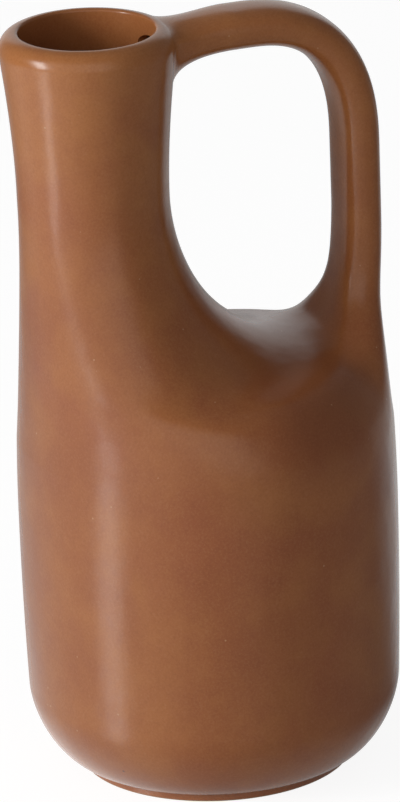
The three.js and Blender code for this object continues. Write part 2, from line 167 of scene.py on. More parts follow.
def blend_rings(foot: np.ndarray, out: np.ndarray, top: np.ndarray, run: np.ndarray,
                roundness: float | np.ndarray, steps: int) -> np.ndarray:
    """Rings of a blend that leaves a surface without a crease and ends in a section.

    Args:
        foot: Points on the surface, one for each column.
        out: Directions out of the surface at these points.
        top: Points of the section, one for each column.
        run: Direction in which the blend runs into the section.
        roundness: How far the blend follows both ends, as a share of the way.
        steps: Number of rings after the first.

    Returns:
        Rows of rings, from the foot to the section.
    """
    way = top - foot
    along = unit(way - (way * out).sum(-1, keepdims=True) * out)
    first = foot + along * roundness * (way * along).sum(-1, keepdims=True)
    last = top - run * roundness * (way * run).sum(-1, keepdims=True)
    share = np.linspace(0, 1, steps + 1)[:, None, None]
    rest = 1 - share
    ends = rest ** 3 * foot + share ** 3 * top
    return ends + 3 * rest ** 2 * share * first + 3 * rest * share ** 2 * last


# Meshes

def mesh_object(name: str, rings: np.ndarray, ends: Ends) -> bpy.types.Object:
    """A closed mesh through rings of points.

    Args:
        name: Name of the object.
        rings: Points in millimetres, as rows of rings.
        ends: How the first and last ring are closed.

    Returns:
        The object, linked to the scene.
    """
    rows, columns = rings.shape[:2]
    faces = []
    for row in range(rows if ends is Ends.JOINED else rows - 1):
        here = row * columns
        there = (row + 1) % rows * columns
        for column in range(columns):
            beside = (column + 1) % columns
            faces.append((here + column, here + beside, there + beside, there + column))
    if ends is Ends.CAPPED:
        faces.append(tuple(range(columns)))
        faces.append(tuple(range((rows - 1) * columns, rows * columns)))
    mesh = bpy.data.meshes.new(name)
    mesh.from_pydata((rings.reshape(-1, 3) * MM).tolist(), [], faces)
    work = bmesh.new()
    work.from_mesh(mesh)
    bmesh.ops.remove_doubles(work, verts=work.verts, dist=WELD_METRES)
    bmesh.ops.recalc_face_normals(work, faces=work.faces)
    work.to_mesh(mesh)
    work.free()
    piece = bpy.data.objects.new(name, mesh)
    bpy.context.scene.collection.objects.link(piece)
    return piece


def combine(piece: bpy.types.Object, tool: bpy.types.Object, cut: Cut) -> None:
    """Join a second mesh to a piece, or remove it, and delete the second mesh.

    Args:
        piece: The object whose mesh changes.
        tool: The object that is used up.
        cut: What to do.
    """
    modifier = piece.modifiers.new("combine", "BOOLEAN")
    modifier.operation = cut.value
    modifier.solver = "EXACT"
    modifier.object = tool
    apply_modifiers(piece)
    bpy.data.objects.remove(tool)


def apply_modifiers(piece: bpy.types.Object) -> None:
    """Put the mesh that a piece's modifiers make in place of its own.

    Args:
        piece: The object whose mesh changes.
    """
    bpy.context.view_layer.update()
    shaped = piece.evaluated_get(bpy.context.evaluated_depsgraph_get())
    mesh = bpy.data.meshes.new_from_object(shaped)
    piece.modifiers.clear()
    piece.data = mesh


def soften(piece: bpy.types.Object, voxel: float, steps: int,
           weight: Callable[[np.ndarray, np.ndarray, np.ndarray], np.ndarray]) -> None:
    """Rebuild a piece with even faces and smooth it where a weight says so.

    Args:
        piece: The object whose mesh changes.
        voxel: Size of the faces.
        steps: Number of smoothing steps.
        weight: Gives a share from 0 to 1 for places in millimetres.
    """
    remesh = piece.modifiers.new("even_faces", "REMESH")
    remesh.mode = "VOXEL"
    remesh.voxel_size = voxel * MM
    apply_modifiers(piece)
    places = np.empty(len(piece.data.vertices) * 3)
    piece.data.vertices.foreach_get("co", places)
    shares = weight(*places.reshape(-1, 3).T / MM)
    group = piece.vertex_groups.new(name="soft")
    for level in range(1, WEIGHT_LEVELS + 1):
        chosen = np.flatnonzero(np.round(shares * WEIGHT_LEVELS) == level)
        if len(chosen):
            group.add(chosen.tolist(), level / WEIGHT_LEVELS, "REPLACE")
    smooth = piece.modifiers.new("soften", "SMOOTH")
    smooth.factor = SMOOTH_FACTOR
    smooth.iterations = steps
    smooth.vertex_group = group.name
    apply_modifiers(piece)
    piece.vertex_groups.clear()


def trim(piece: bpy.types.Object, height: float, keep: Keep,
         where: Callable[[float], bool] = lambda x: True) -> None:
    """Cut a piece flat at a height and close the cut.

    Args:
        piece: The object whose mesh changes.
        height: Height of the cut in millimetres.
        keep: Which part stays.
        where: Tells for a place along X in millimetres whether the cut applies there.
    """
    work = bmesh.new()
    work.from_mesh(piece.data)
    faces = [face for face in work.faces if where(face.calc_center_median().x / MM)]
    edges = {edge for face in faces for edge in face.edges}
    verts = {vert for face in faces for vert in face.verts}
    cut = bmesh.ops.bisect_plane(
        work, geom=[*faces, *edges, *verts], dist=WELD_METRES, plane_co=(0, 0, height * MM),
        plane_no=keep.value, clear_inner=True)
    bmesh.ops.contextual_create(
        work, geom=[part for part in cut["geom_cut"] if isinstance(part, bmesh.types.BMEdge)])
    bmesh.ops.recalc_face_normals(work, faces=work.faces)
    work.to_mesh(piece.data)
    work.free()


def shade(piece: bpy.types.Object, crease_degrees: float = 32) -> None:
    """Shade a piece smooth, apart from its sharp edges."""
    piece.data.shade_smooth()
    piece.data.set_sharp_from_angle(angle=math.radians(crease_degrees))


# Pieces

@dataclass(frozen=True)
class VaseSizes:
    """The driving sizes of the vase, and what follows from them."""

    foot_radius: float = 45.2
    foot_width: float = 8.5
    foot_height: float = 2.9
    foot_edge_radius: float = 0.9
    belly_radius: float = 62.6
    belly_height: float = 111.5
    widest_height: float = 85.9
    heel_height: float = 25.2
    heel_taper: float = 1.1
    heel_fullness: float = 1.67
    seam_taper: float = 0.5
    wall: float = 5.5
    floor: float = 6.5
    floor_fillet: float = 16
    saddle_rise: float = 30.4
    root_rise: float = 55.6
    side_sag: float = 9
    side_bulge: float = 5
    left_waist: float = 0.7
    neck_inset: float = 2.1
    neck_radius: float = 24.7
    neck_length: float = 55.9
    neck_wall: float = 4.8
    rim_radius: float = 28.7
    lip_reach: float = 5.6
    lip_drop: float = 6
    lip_edge_radius: float = 1
    handle_inset: float = 0.5
    handle_thickness: float = 13.8
    handle_depth: float = 23
    handle_slimming: float = 0.5
    handle_squareness: float = 2.5
    handle_lift: float = 1.0
    bend_reach: float = 38
    bend_rise: float = 45
    bend_fullness: float = 2.5
    stub_rise: float = 40.8
    stub_inner_flare: float = 14
    stub_side_flare: float = 23
    joint_length: float = 20
    joint_top_drop: float = 0.1
    joint_depth: float = 22.4
    joint_side: float = 3.5
    handle_wall: float = 3.6
    port_drop: float = 2.2

    @property
    def seam_z(self) -> float:
        """Height of the belly's upper edge."""
        return self.foot_height + self.belly_height

    @property
    def seam_radius(self) -> float:
        """Radius of the belly's upper edge."""
        return self.belly_radius - self.seam_taper

    @property
    def saddle_z(self) -> float:
        """Height of the saddle under the loop."""
        return self.seam_z + self.saddle_rise

    @property
    def collar_z(self) -> float:
        """Height where the neck starts."""
        return self.saddle_z + self.root_rise

    @property
    def rim_z(self) -> float:
        """Height of the rim's crest."""
        return self.collar_z + self.neck_length

    @property
    def lip_z(self) -> float:
        """Height of the widest place of the rim."""
        return self.rim_z - self.lip_drop

    @property
    def neck_x(self) -> float:
        """Place of the neck's axis."""
        return self.neck_radius + self.neck_inset - self.belly_radius

    @property
    def handle_x(self) -> float:
        """Place of the handle's middle line where it is upright."""
        return self.belly_radius - self.handle_inset - self.handle_thickness / 2

    @property
    def handle_z(self) -> float:
        """Height of the handle's middle line where it is highest."""
        return self.rim_z + self.handle_lift - self.handle_thickness / 2

    @property
    def stub_z(self) -> float:
        """Height where the handle leaves the shoulder's stub."""
        return self.saddle_z + self.stub_rise

    @property
    def joint_x(self) -> float:
        """Place where the handle starts to spread towards the neck."""
        return self.neck_x + self.rim_radius + self.joint_length

    @property
    def root_x(self) -> float:
        """Place of the saddle's crest."""
        return self.handle_x - self.handle_thickness / 2 - self.stub_inner_flare


@dataclass(frozen=True)
class Piece:
    """A piece of the vase that stands for one node of the solids."""

    sizes: VaseSizes
    node: str
    slot: str
    round_steps: int = field(default=192, kw_only=True)

    def revolved(self, profile: np.ndarray, ends: Ends, axis_x: float = 0) -> bpy.types.Object:
        """A solid of revolution about an upright axis.

        Args:
            profile: Points of radius and height.
            ends: How the profile's ends are closed.
            axis_x: Place of the axis.

        Returns:
            The new object.
        """
        turn = round_angles(self.round_steps)
        radius, height = profile[:, :1], profile[:, 1:]
        rings = np.stack([
            axis_x + radius * np.cos(turn),
            radius * np.sin(turn),
            height + 0 * turn,
        ], -1)
        return mesh_object(f"{self.node}_piece", rings, ends)

    def build(self) -> bpy.types.Object:
        """The piece's mesh."""
        raise NotImplementedError

    def dress(self, material: bpy.types.Material) -> bpy.types.Object:
        """Build the piece, give it its finish and tie it to its node.

        Args:
            material: The finish.

        Returns:
            The finished object.
        """
        piece = self.build()
        shade(piece)
        piece.data.materials.clear()
        piece.data.materials.append(material)
        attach(piece, "root")
        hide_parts(self.node)
        log.info("%s stands for %s, %d faces", piece.name, self.node, len(piece.data.polygons))
        return piece


@dataclass(frozen=True)
class FootRing(Piece):
    """The low standing ring under the belly."""

    edge_steps: int = 8

    def build(self) -> bpy.types.Object:
        """The ring with round lower edges.

        Returns:
            The new object.
        """
        s = self.sizes
        edge = s.foot_edge_radius
        inner = s.foot_radius - s.foot_width
        profile = np.concatenate([
            arc((inner + edge, edge), edge, edge, 180, 270, self.edge_steps),
            arc((s.foot_radius - edge, edge), edge, edge, -90, 0, self.edge_steps),
            [(s.foot_radius, s.foot_height), (inner, s.foot_height)],
        ])
        return self.revolved(profile, Ends.JOINED)


@dataclass(frozen=True)
class Body(Piece):
    """The round belly with its heel, wall and floor."""

    heel_steps: int = 40
    wall_steps: int = 60
    inside_steps: int = 20
    fillet_steps: int = 16
    seam_row: float = 0.3

    def radius_at(self, z: np.ndarray) -> np.ndarray:
        """Outer radius of the wall.

        Args:
            z: Heights between the heel and the seam.

        Returns:
            The radii.
        """
        s = self.sizes
        widest_z = s.foot_height + s.widest_height
        below = (widest_z - z) / (s.widest_height - s.heel_height)
        above = (z - widest_z) / (s.belly_height - s.widest_height)
        taper = np.where(z < widest_z, s.heel_taper * below ** 2, s.seam_taper * above ** 2)
        return s.belly_radius - taper

    def build(self) -> bpy.types.Object:
        """The belly as one shell.

        Returns:
            The new object.
        """
        s = self.sizes
        turn = np.linspace(0, np.pi / 2, self.heel_steps + 1)
        power = 2 / s.heel_fullness
        heel_radius = s.belly_radius - s.heel_taper
        heel = np.stack([
            s.foot_radius + (heel_radius - s.foot_radius) * np.sin(turn) ** power,
            s.foot_height + s.heel_height * (1 - np.cos(turn) ** power),
        ], -1)
        heel_z = s.foot_height + s.heel_height
        outer_z = np.append(
            np.linspace(heel_z, s.seam_z, self.wall_steps, endpoint=False)[1:],
            [s.seam_z - self.seam_row, s.seam_z])
        wall = np.stack([self.radius_at(outer_z), outer_z], -1)
        floor_z = s.foot_height + s.floor
        fillet_z = floor_z + s.floor_fillet
        inner_z = np.linspace(s.seam_z, max(heel_z, fillet_z), self.inside_steps)
        inside = np.stack([self.radius_at(inner_z) - s.wall, inner_z], -1)
        fillet = arc((inside[-1, 0] - s.floor_fillet, fillet_z), s.floor_fillet, s.floor_fillet,
                     0, -90, self.fillet_steps)
        profile = np.concatenate([
            [(0, s.foot_height)], heel, wall, inside, fillet, [(0, floor_z)]])
        return self.revolved(profile, Ends.POLES)


@dataclass(frozen=True)
class Shoulder(Piece):
    """The closing section, with the saddle and the stub that carries the handle."""

    ring_steps: int = 110
    line_steps: int = 1500
    stub_steps: int = 48
    stub_columns: int = 128
    sink: float = 0.12
    overrun: float = 6
    voxel: float = 0.9
    soft_steps: int = 220
    soft_above_seam: tuple[float, float] = (4, 12)
    soft_below_stub: float = 6
    soft_above_saddle: float = 8
    soft_from_x: float = -25
    soft_to_x: float = 0
    halvings: int = 48
    slope_step: float = 1e-3
    roundness: float = 0.7
    back_low_share: float = 0.3
    back_high_share: float = 0.7
    handle_slope: float = 0.4

    @cached_property
    def _lines(self) -> tuple[np.ndarray, np.ndarray]:
        """The shoulder's outline in the plane Y = 0.

        Returns:
            Points on the neck's side and on the handle's side, from the seam to the collar.
        """
        s = self.sizes
        root_reach = s.root_x - (s.neck_x + s.neck_radius)
        steps = self.line_steps
        dome = arc((s.root_x, s.seam_z), s.seam_radius - s.root_x, s.saddle_rise, 0, 90, steps)
        root = arc((s.root_x, s.collar_z), root_reach, s.root_rise, 270, 180, steps)
        left_x = s.neck_x - s.neck_radius
        rise = s.collar_z - s.seam_z
        back = bezier([
            (-s.seam_radius, s.seam_z),
            (left_x + s.left_waist, s.seam_z + rise * self.back_low_share),
            (left_x + s.left_waist, s.seam_z + rise * self.back_high_share),
            (left_x, s.collar_z)], steps)
        shares = np.linspace(0, 1, 2 * steps)
        return evenly(back, shares), evenly(np.concatenate([dome, root[1:]]), shares)

    def surface(self, share: np.ndarray, turn: np.ndarray, inset: float = 0) -> np.ndarray:
        """Points of the shoulder's surface without the stub.

        Args:
            share: Shares of the way from the seam to the collar.
            turn: Angles round the section, 0 on the handle's side.
            inset: How far the surface is drawn inwards.

        Returns:
            One point for each pair of share and angle.
        """
        shares = np.linspace(0, 1, len(self._lines[0]))
        sides = []
        for line, side in zip(self._lines, (1, -1)):
            along = unit(np.gradient(line, axis=0))
            moved = line + side * inset * np.stack([along[:, 1], -along[:, 0]], -1)
            sides.append([np.interp(share, shares, column) for column in moved.T])
        (left_x, left_z), (right_x, right_z) = sides
        swell = np.sin(np.pi * share) ** 2
        across = np.sin(turn)
        towards = (1 + np.cos(turn)) / 2
        slope = 1 + self.handle_slope * np.maximum(np.cos(turn), 0) ** 2
        return np.stack([
            left_x + (right_x - left_x) * towards,
            ((right_x - left_x) / 2 + self.sizes.side_bulge * swell) * across,
            left_z + (right_z - left_z) * towards - self.sizes.side_sag * swell * slope * across ** 2,
        ], -1)

    def spot_under(self, x: np.ndarray, y: np.ndarray) -> tuple[np.ndarray, np.ndarray]:
        """Share and angle of the surface at places in plan.

        Args:
            x: Places along X.
            y: Places along Y.

        Returns:
            The shares and the angles.
        """
        shares = np.linspace(0, 1, len(self._lines[0]))
        left, right = (line[:, 0] for line in self._lines)
        low, high = np.zeros_like(x), np.ones_like(x)
        for _ in range(self.halvings):
            share = (low + high) / 2
            start, end = np.interp(share, shares, left), np.interp(share, shares, right)
            reach = (end - start) / 2
            along = (x - start) / reach - 1
            across = y / (reach + self.sizes.side_bulge * np.sin(np.pi * share) ** 2)
            outside = np.hypot(along, across) > 1
            low, high = np.where(outside, low, share), np.where(outside, share, high)
        return share, np.arctan2(across, along)

    def spot_and_normal(self, x: np.ndarray, y: np.ndarray) -> tuple[np.ndarray, np.ndarray]:
        """Points of the surface at places in plan, with the directions out of it.

        Args:
            x: Places along X.
            y: Places along Y.

        Returns:
            The points and the directions.
        """
        share, turn = self.spot_under(x, y)
        step = self.slope_step
        above, below = np.minimum(share + step, 1), np.maximum(share - step, 0)
        along = self.surface(above, turn) - self.surface(below, turn)
        across = self.surface(share, turn + step) - self.surface(share, turn - step)
        return self.surface(share, turn), unit(np.cross(across, along))

    def stub_rings(self) -> np.ndarray:
        """Rings of the stub.

        Returns:
            Rows of rings, from a foot that lies on the dome to the handle's section.
        """
        s = self.sizes
        turn = round_angles(self.stub_columns)
        u, v = squared(turn, s.handle_squareness)
        top = np.stack([
            s.handle_x + u * s.handle_thickness / 2,
            v * s.handle_depth / 2,
            np.full_like(u, s.stub_z),
        ], -1)
        x = (s.seam_radius + s.root_x) / 2 + (s.seam_radius - s.root_x) / 2 * np.cos(turn)
        y = (s.handle_depth / 2 + s.stub_side_flare) * np.sin(turn)
        shrink = np.minimum(1, (s.seam_radius - self.sink) / np.hypot(x, y))
        foot, out = self.spot_and_normal(x * shrink, y * shrink)
        foot = foot - self.sink * out
        curve = blend_rings(foot, out, top, np.array([0, 0, 1]), self.roundness, self.stub_steps)
        sunk = foot - np.array([0, 0, s.wall / 2])
        raised = top + np.array([0, 0, self.overrun])
        return np.concatenate([sunk[None], curve, raised[None]])

    def softness(self, x: np.ndarray, y: np.ndarray, z: np.ndarray) -> np.ndarray:
        """How far the surface is smoothed.

        Args:
            x: Places along X.
            y: Places along Y, which make no difference.
            z: Heights.

        Returns:
            Shares from 0 to 1.
        """
        s = self.sizes
        low, high = self.soft_above_seam
        rise = smooth_step(z, s.seam_z + low, s.seam_z + high)
        fall = smooth_step(z, s.stub_z - self.soft_below_stub, s.saddle_z + self.soft_above_saddle)
        return rise * fall * smooth_step(x, self.soft_from_x, self.soft_to_x)

    def build(self) -> bpy.types.Object:
        """The shoulder's shell, with the stub blended into it.

        Returns:
            The new object.
        """
        s = self.sizes
        turn = round_angles(self.round_steps)[None, :]
        shares = np.linspace(0, 1, self.ring_steps + 1)[:, None]
        outer = self.surface(shares, turn)
        up = np.array([0, 0, self.overrun])
        full = np.concatenate([outer[:1] - up, outer, outer[-1:] + up])
        form = mesh_object(f"{self.node}_piece", full, Ends.CAPPED)
        combine(form, mesh_object("stub_form", self.stub_rings(), Ends.CAPPED), Cut.JOIN)
        soften(form, self.voxel, self.soft_steps, self.softness)
        trim(form, s.seam_z, Keep.ABOVE)
        middle = (s.neck_x + s.handle_x) / 2
        trim(form, s.collar_z, Keep.BELOW, lambda x: x < middle)
        trim(form, s.stub_z, Keep.BELOW, lambda x: x > middle)
        inner = self.surface(shares[::2], turn, s.wall)
        inner[..., 2] = np.clip(inner[..., 2], s.seam_z, s.collar_z)
        hollow = np.concatenate([inner[:1] - up, inner, inner[-1:] + up])
        combine(form, mesh_object("hollow_form", hollow, Ends.CAPPED), Cut.REMOVE)
        return form


@dataclass(frozen=True)
class Port:
    """The end of the handle's bore, which opens through the neck's wall."""

    sizes: VaseSizes
    columns: int = 48

    def form(self) -> bpy.types.Object:
        """An oval bar to cut out of the handle and the neck.

        Returns:
            The new object.
        """
        s = self.sizes
        inward = unit(np.array([-s.joint_length, 0, -s.port_drop]))
        rise = np.array([inward[2], 0, -inward[0]]) * (s.handle_thickness / 2 - s.handle_wall)
        side = np.array([0, 1, 0]) * (s.handle_depth / 2 - s.handle_wall)
        turn = round_angles(self.columns)[:, None]
        ring = np.array([s.joint_x, 0, s.handle_z]) + np.cos(turn) * rise + np.sin(turn) * side
        length = s.joint_length + s.rim_radius
        return mesh_object("port_form", np.stack([ring, ring + inward * length]), Ends.CAPPED)


@dataclass(frozen=True)
class Neck(Piece):
    """The flared collar with its outward-sloping lip."""

    wall_steps: int = 48
    lip_steps: int = 24
    edge_steps: int = 10
    seam_row: float = 0.3
    flare_share: float = 0.4
    bore_flare_share: float = 0.45

    def outside(self) -> np.ndarray:
        """The outside, from the collar up and over the lip.

        Returns:
            Points of radius and height.
        """
        s = self.sizes
        wall = bezier([
            (s.neck_radius, s.collar_z),
            (s.neck_radius, s.collar_z + (s.lip_z - s.collar_z) * self.flare_share),
            (s.rim_radius, s.lip_z)], self.wall_steps)
        crest = (s.rim_radius - s.lip_reach, s.lip_z)
        lip = arc(crest, s.lip_reach, s.lip_drop, 0, 90, self.lip_steps)
        return np.concatenate([wall, lip[1:]])

    def spot_and_normal(self, y: np.ndarray, z: np.ndarray) -> tuple[np.ndarray, np.ndarray]:
        """Points of the outside on the handle's side, with the directions out of it.

        Args:
            y: Places along Y.
            z: Heights.

        Returns:
            The points and the directions.
        """
        radii, heights = self.outside().T
        radius = np.interp(z, heights, radii)
        slope = np.interp(z, heights, np.gradient(radii, heights))
        reach = np.sqrt(radius ** 2 - y ** 2)
        spot = np.stack([self.sizes.neck_x + reach, y, z], -1)
        return spot, unit(np.stack([reach / radius, y / radius, -slope], -1))

    def build(self) -> bpy.types.Object:
        """The collar as one ring.

        Returns:
            The new object.
        """
        s = self.sizes
        inner = s.neck_radius - s.neck_wall
        crest = s.rim_radius - s.lip_reach
        edge_z = s.rim_z - s.lip_edge_radius
        edge = arc((crest, edge_z), s.lip_edge_radius, s.lip_edge_radius, 90, 180, self.edge_steps)
        bore = bezier([
            (crest - s.lip_edge_radius, edge_z),
            (inner, s.collar_z + (s.lip_z - s.collar_z) * self.bore_flare_share),
            (inner, s.collar_z)], self.wall_steps)
        profile = np.concatenate([self.outside(), edge[1:], bore[1:]])
        collar = self.revolved(profile, Ends.JOINED, s.neck_x)
        combine(collar, Port(s).form(), Cut.REMOVE)
        return collar


@dataclass(frozen=True)
class Handle(Piece):
    """The loop from the stub over the bend and level into the neck."""

    neck: Neck
    columns: int = 128
    straight_steps: int = 12
    bend_steps: int = 72
    level_steps: int = 8
    joint_steps: int = 30
    joint_top_roundness: float = 0.28
    joint_bottom_roundness: float = 0.52
    sink: float = 0.1

    def stations(self) -> tuple[np.ndarray, np.ndarray]:
        """The middle line from the stub to the joint.

        Returns:
            Places in X and Z, and directions out of the loop there.
        """
        s = self.sizes
        bend_x = s.handle_x - s.bend_reach
        bend_z = s.handle_z - s.bend_rise
        straight_z = np.linspace(s.stub_z, bend_z, self.straight_steps, endpoint=False)
        straight = np.stack([np.full_like(straight_z, s.handle_x), straight_z], -1)
        turn = np.linspace(0, np.pi / 2, self.bend_steps + 1)
        across, up = squared(turn, s.bend_fullness)
        bend = np.stack([bend_x + s.bend_reach * across, bend_z + s.bend_rise * up], -1)
        bend_out = unit(np.stack([
            np.abs(across) ** (s.bend_fullness - 1) / s.bend_reach,
            np.abs(up) ** (s.bend_fullness - 1) / s.bend_rise], -1))
        level_x = np.linspace(bend_x, s.joint_x, self.level_steps + 1)[1:]
        level = np.stack([level_x, np.full_like(level_x, s.handle_z)], -1)
        out = np.concatenate([
            np.tile((1.0, 0.0), (len(straight), 1)), bend_out, np.tile((0.0, 1.0), (len(level), 1))])
        return np.concatenate([straight, bend, level]), out

    def joint_rings(self, section: np.ndarray) -> np.ndarray:
        """Rings of the joint, which spreads towards the neck.

        Args:
            section: The loop's last section.

        Returns:
            Rows of rings, from that section to a wider foot inside the neck's wall.
        """
        s = self.sizes
        u, v = squared(round_angles(self.columns), s.handle_squareness)
        y = v * (s.handle_depth / 2 + s.joint_side)
        top_reach = s.rim_z - s.joint_top_drop - s.handle_z
        bottom_reach = s.handle_z - s.rim_z + s.joint_depth
        z = s.handle_z + u * np.where(u > 0, top_reach, bottom_reach)
        foot, out = self.neck.spot_and_normal(y, z)
        foot = foot - self.sink * out
        towards_top = (1 + u[:, None]) / 2
        roundness = (
            self.joint_bottom_roundness * (1 - towards_top) + self.joint_top_roundness * towards_top)
        curve = blend_rings(foot, out, section, np.array([1, 0, 0]), roundness, self.joint_steps)
        return np.concatenate([curve[-2::-1], (foot - s.neck_wall / 2 * out)[None]])

    def build(self) -> bpy.types.Object:
        """The loop as one swept solid.

        Returns:
            The new object.
        """
        s = self.sizes
        places, out = self.stations()
        u, v = squared(round_angles(self.columns), s.handle_squareness)
        way = smooth_step(-places[:, 0], -s.handle_x, s.bend_reach - s.handle_x)
        slim = s.handle_slimming / 2 * way
        off = u * (s.handle_thickness / 2 - slim[:, None])
        rings = np.stack([
            places[:, :1] + out[:, :1] * off,
            np.broadcast_to(v * s.handle_depth / 2, off.shape),
            places[:, 1:] + out[:, 1:] * off,
        ], -1)
        swept = np.concatenate([rings, self.joint_rings(rings[-1])])
        loop = mesh_object(f"{self.node}_piece", swept, Ends.CAPPED)
        combine(loop, Port(s).form(), Cut.REMOVE)
        return loop


# Finishes

Colour = tuple[float, float, float, float]
Settings = dict[str, object]
Sockets = dict[str | int, object]


@dataclass(frozen=True)
class Clouds:
    """A kind of cloudy noise: clouds for each metre, finer layers, their strength and bending."""

    scale: float
    detail: float
    roughness: float = 0.5
    distortion: float = 0


@dataclass(frozen=True)
class Dots:
    """A kind of scattered dots: cells for each metre, radius in a cell and share of empty cells."""

    scale: float
    radius: float
    rarity: float
    core: float = 0.5
    edge: float = 0.01


@dataclass(frozen=True)
class Ramp:
    """A smooth change from 0 at the start to a share, the most, at the end."""

    start: float
    end: float
    most: float


class Signal:
    """A socket that carries a number, for maths written as expressions."""

    def __init__(self, bench: "Bench", socket: bpy.types.NodeSocket) -> None:
        """Keep the socket and the bench that it belongs to."""
        self.bench = bench
        self.socket = socket

    def _math(self, operation: str, *operands: "Signal | float") -> "Signal":
        """The result of one Math node."""
        settings = {"operation": operation}
        return self.bench.signal("ShaderNodeMath", settings, dict(enumerate(operands)))

    def __add__(self, other: "Signal | float") -> "Signal":
        """Sum."""
        return self._math("ADD", self, other)

    def __radd__(self, other: float) -> "Signal":
        """Sum."""
        return self._math("ADD", other, self)

    def __sub__(self, other: "Signal | float") -> "Signal":
        """Difference."""
        return self._math("SUBTRACT", self, other)

    def __rsub__(self, other: float) -> "Signal":
        """Difference."""
        return self._math("SUBTRACT", other, self)

    def __mul__(self, other: "Signal | float") -> "Signal":
        """Product."""
        return self._math("MULTIPLY", self, other)

    def __rmul__(self, other: float) -> "Signal":
        """Product."""
        return self._math("MULTIPLY", other, self)

    def between(self, low: float, high: float) -> "Signal":
        """Smooth step from 0 at low to 1 at high."""
        return self.bench.signal(
            "ShaderNodeMapRange", {"interpolation_type": "SMOOTHSTEP"},
            {"Value": self, "From Min": low, "From Max": high})

    def through(self, ramp: Ramp) -> "Signal":
        """The share that a ramp gives."""
        return self.between(ramp.start, ramp.end) * ramp.most


class Bench:
    """Adds nodes to one node tree."""

    def __init__(self, tree: bpy.types.NodeTree) -> None:
        """Start with an empty tree."""
        self.tree = tree
        tree.nodes.clear()

    def add(self, kind: str, settings: Settings | None = None,
            sockets: Sockets | None = None) -> bpy.types.Node:
        """A new node.

        Args:
            kind: The node's type.
            settings: Values of its properties, set first.
            sockets: Values or links of its sockets, by name or number.

        Returns:
            The node.
        """
        node = self.tree.nodes.new(kind)
        for name, value in (settings or {}).items():
            setattr(node, name, value)
        for key, value in (sockets or {}).items():
            self.feed(node.inputs[key], value)
        return node

    def feed(self, socket: bpy.types.NodeSocket, value: object) -> None:
        """Link a socket or set its value.

        Args:
            socket: The input to feed.
            value: A signal, another socket or a plain value.
        """
        if isinstance(value, Signal):
            value = value.socket
        if isinstance(value, bpy.types.NodeSocket):
            self.tree.links.new(value, socket)
        else:
            socket.default_value = value

    def signal(self, kind: str, settings: Settings | None = None, sockets: Sockets | None = None,
               output: int | str = 0) -> Signal:
        """One output of a new node as a number."""
        return Signal(self, self.add(kind, settings, sockets).outputs[output])

    def vector(self, operation: str, *operands: object) -> bpy.types.NodeSocket:
        """The vector that one Vector Math node gives."""
        node = self.add("ShaderNodeVectorMath", {"operation": operation}, dict(enumerate(operands)))
        return node.outputs["Vector"]

    def measure(self, operation: str, *operands: object) -> Signal:
        """The number that one Vector Math node gives."""
        settings = {"operation": operation}
        return self.signal("ShaderNodeVectorMath", settings, dict(enumerate(operands)), "Value")

    def coordinate(self, place: bpy.types.NodeSocket, axis: str) -> Signal:
        """One coordinate of a vector."""
        return self.signal("ShaderNodeSeparateXYZ", None, {0: place}, axis)

    def along(self, way: bpy.types.NodeSocket, direction: Vector) -> Signal:
        """How far a vector goes in a direction."""
        return self.measure("DOT_PRODUCT", way, direction)

    def noise(self, place: bpy.types.NodeSocket, clouds: Clouds) -> Signal:
        """Cloudy noise at coordinates in metres, about NOISE_MIDDLE on average."""
        return self.signal("ShaderNodeTexNoise", None, {
            "Vector": place, "Scale": clouds.scale, "Detail": clouds.detail,
            "Roughness": clouds.roughness, "Distortion": clouds.distortion})

    def dots(self, place: bpy.types.NodeSocket, dots: Dots) -> Signal:
        """Scattered round dots.

        Args:
            place: Coordinates in metres.
            dots: Their kind.

        Returns:
            1 in a dot and 0 elsewhere.
        """
        cells = self.add("ShaderNodeTexVoronoi", None, {"Vector": place, "Scale": dots.scale})
        chance = self.signal("ShaderNodeSeparateColor", None, {0: cells.outputs["Color"]})
        away = Signal(self, cells.outputs["Distance"])
        inside = 1 - away.between(dots.radius * dots.core, dots.radius)
        return inside * chance.between(dots.rarity, dots.rarity + dots.edge)

    def blend(self, share: Signal, first: object, second: object) -> bpy.types.NodeSocket:
        """A colour between two colours, whose sockets the Mix node has at 6, 7 and 2."""
        mix = self.add("ShaderNodeMix", {"data_type": "RGBA"}, {0: share, 6: first, 7: second})
        return mix.outputs[2]


